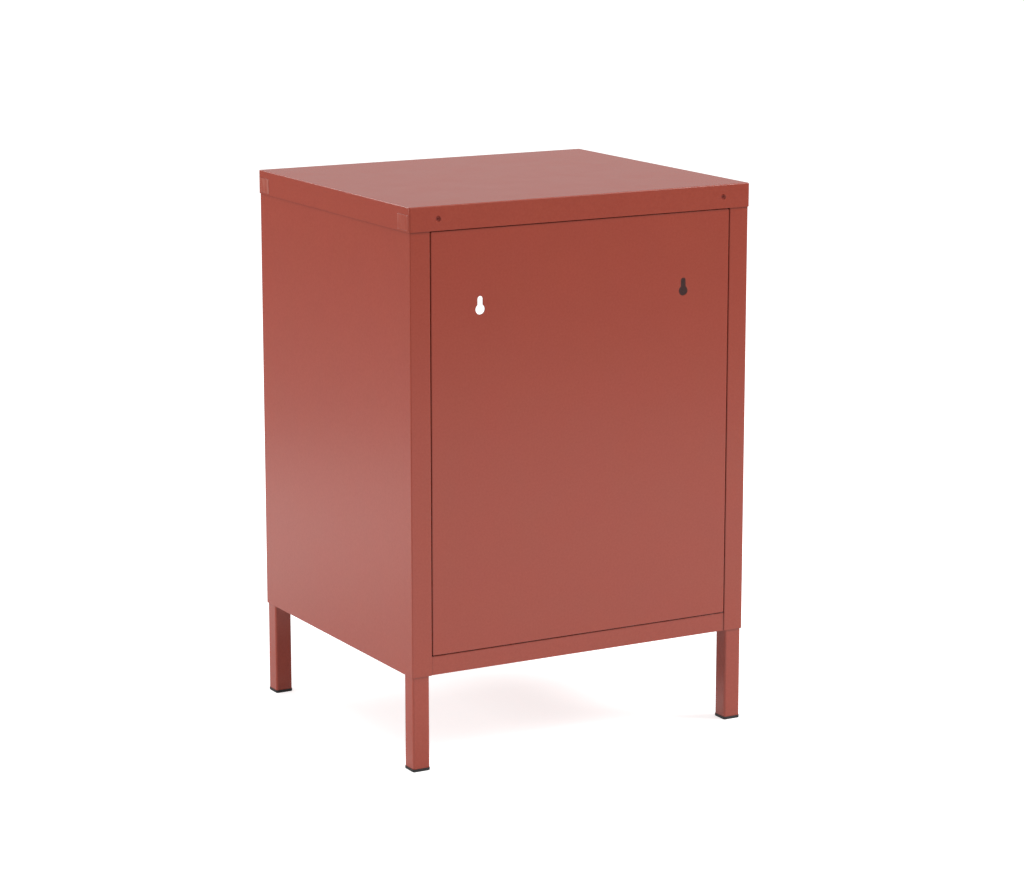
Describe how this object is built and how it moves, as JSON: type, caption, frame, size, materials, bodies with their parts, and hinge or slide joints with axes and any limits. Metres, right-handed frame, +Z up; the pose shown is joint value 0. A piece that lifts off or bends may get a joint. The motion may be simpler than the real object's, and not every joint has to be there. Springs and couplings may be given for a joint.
{
  "type": "metal filing cabinet",
  "caption": "Small powder-coated steel filing cabinet on square legs, with an open niche above drawers on telescopic runners and keyholes in its back panel.",
  "frame": {"origin": "on the floor under the middle of the cabinet", "axes": "+Z up; the drawers open towards -Y, the back panel faces +Y, and +X is to the right seen from the front"},
  "size_m": [0.4006, 0.35, 0.58],
  "materials": {
    "powder_coat": "satin terracotta powder coat on sheet steel",
    "foot_plastic": "moulded black plastic",
    "pull_plastic": "moulded plastic in the cabinet's colour",
    "cap_screw": "small painted countersunk screw",
    "zinc_screw": "bright zinc plate",
    "runner_steel": "zinc-plated rolled steel",
    "ball_cage": "steel balls in a steel strip",
    "stop_rubber": "black rubber",
    "label_card": "blank off-white card"
  },
  "bodies": {
    "carcass": {"top_cap": "powder_coat", "side_panel_left": "powder_coat", "side_panel_right": "powder_coat", "back_panel": "powder_coat", "bottom_panel": "powder_coat", "niche_shelf": "powder_coat", "front_stretcher": "powder_coat", "back_stretcher": "powder_coat", "leg_front_left": "powder_coat", "leg_front_right": "powder_coat", "leg_back_left": "powder_coat", "leg_back_right": "powder_coat", "foot_front_left": "foot_plastic", "foot_front_right": "foot_plastic", "foot_back_left": "foot_plastic", "foot_back_right": "foot_plastic", "cap_screws": "cap_screw", "cap_press_nuts": "zinc_screw", "panel_screws": "zinc_screw", "runner_screws": "zinc_screw", "leg_screws": "zinc_screw", "leg_rivet_nuts": "zinc_screw", "runner_stops": "stop_rubber", "upper_left_cabinet_rail": "runner_steel", "upper_right_cabinet_rail": "runner_steel", "lower_left_cabinet_rail": "runner_steel", "lower_right_cabinet_rail": "runner_steel"},
    "upper_drawer": {"upper_drawer_front": "powder_coat", "upper_drawer_pull": "pull_plastic", "upper_label_frame": "powder_coat", "upper_label_card": "label_card", "upper_drawer_screws": "zinc_screw", "upper_left_drawer_rail": "runner_steel", "upper_right_drawer_rail": "runner_steel", "upper_box_floor": "powder_coat", "upper_box_left": "powder_coat", "upper_box_right": "powder_coat", "upper_box_front": "powder_coat", "upper_box_back": "powder_coat"},
    "upper_middle_rails": {"upper_left_middle_rail": "runner_steel", "upper_right_middle_rail": "runner_steel"},
    "upper_outer_ball_cages": {"upper_outer_ball_cages": "ball_cage"},
    "upper_inner_ball_cages": {"upper_inner_ball_cages": "ball_cage"},
    "lower_drawer": {"lower_drawer_front": "powder_coat", "lower_drawer_pull": "pull_plastic", "lower_label_frame": "powder_coat", "lower_label_card": "label_card", "lower_drawer_screws": "zinc_screw", "lower_left_drawer_rail": "runner_steel", "lower_right_drawer_rail": "runner_steel", "lower_box_floor": "powder_coat", "lower_box_left": "powder_coat", "lower_box_right": "powder_coat", "lower_box_front": "powder_coat", "lower_box_back": "powder_coat"},
    "lower_middle_rails": {"lower_left_middle_rail": "runner_steel", "lower_right_middle_rail": "runner_steel"},
    "lower_outer_ball_cages": {"lower_outer_ball_cages": "ball_cage"},
    "lower_inner_ball_cages": {"lower_inner_ball_cages": "ball_cage"}
  },
  "joints": [
    {"name": "upper_drawer_slide", "type": "slide", "parent": "carcass", "child": "upper_drawer", "axis": [0, -1, 0], "range_m": [0, 0.27]},
    {"name": "upper_middle_slide", "type": "slide", "parent": "carcass", "child": "upper_middle_rails", "axis": [0, -1, 0], "range_m": [0, 0.135]},
    {"name": "upper_outer_balls_slide", "type": "slide", "parent": "carcass", "child": "upper_outer_ball_cages", "axis": [0, -1, 0], "range_m": [0, 0.0675]},
    {"name": "upper_inner_balls_slide", "type": "slide", "parent": "carcass", "child": "upper_inner_ball_cages", "axis": [0, -1, 0], "range_m": [0, 0.2025]},
    {"name": "lower_drawer_slide", "type": "slide", "parent": "carcass", "child": "lower_drawer", "axis": [0, -1, 0], "range_m": [0, 0.27]},
    {"name": "lower_middle_slide", "type": "slide", "parent": "carcass", "child": "lower_middle_rails", "axis": [0, -1, 0], "range_m": [0, 0.135]},
    {"name": "lower_outer_balls_slide", "type": "slide", "parent": "carcass", "child": "lower_outer_ball_cages", "axis": [0, -1, 0], "range_m": [0, 0.0675]},
    {"name": "lower_inner_balls_slide", "type": "slide", "parent": "carcass", "child": "lower_inner_ball_cages", "axis": [0, -1, 0], "range_m": [0, 0.2025]}
  ],
  "couplings": [
    {"joint": "upper_middle_slide", "follows": "upper_drawer_slide", "ratio": 0.5},
    {"joint": "upper_outer_balls_slide", "follows": "upper_drawer_slide", "ratio": 0.25},
    {"joint": "upper_inner_balls_slide", "follows": "upper_drawer_slide", "ratio": 0.75},
    {"joint": "lower_middle_slide", "follows": "lower_drawer_slide", "ratio": 0.5},
    {"joint": "lower_outer_balls_slide", "follows": "lower_drawer_slide", "ratio": 0.25},
    {"joint": "lower_inner_balls_slide", "follows": "lower_drawer_slide", "ratio": 0.75}
  ]
}
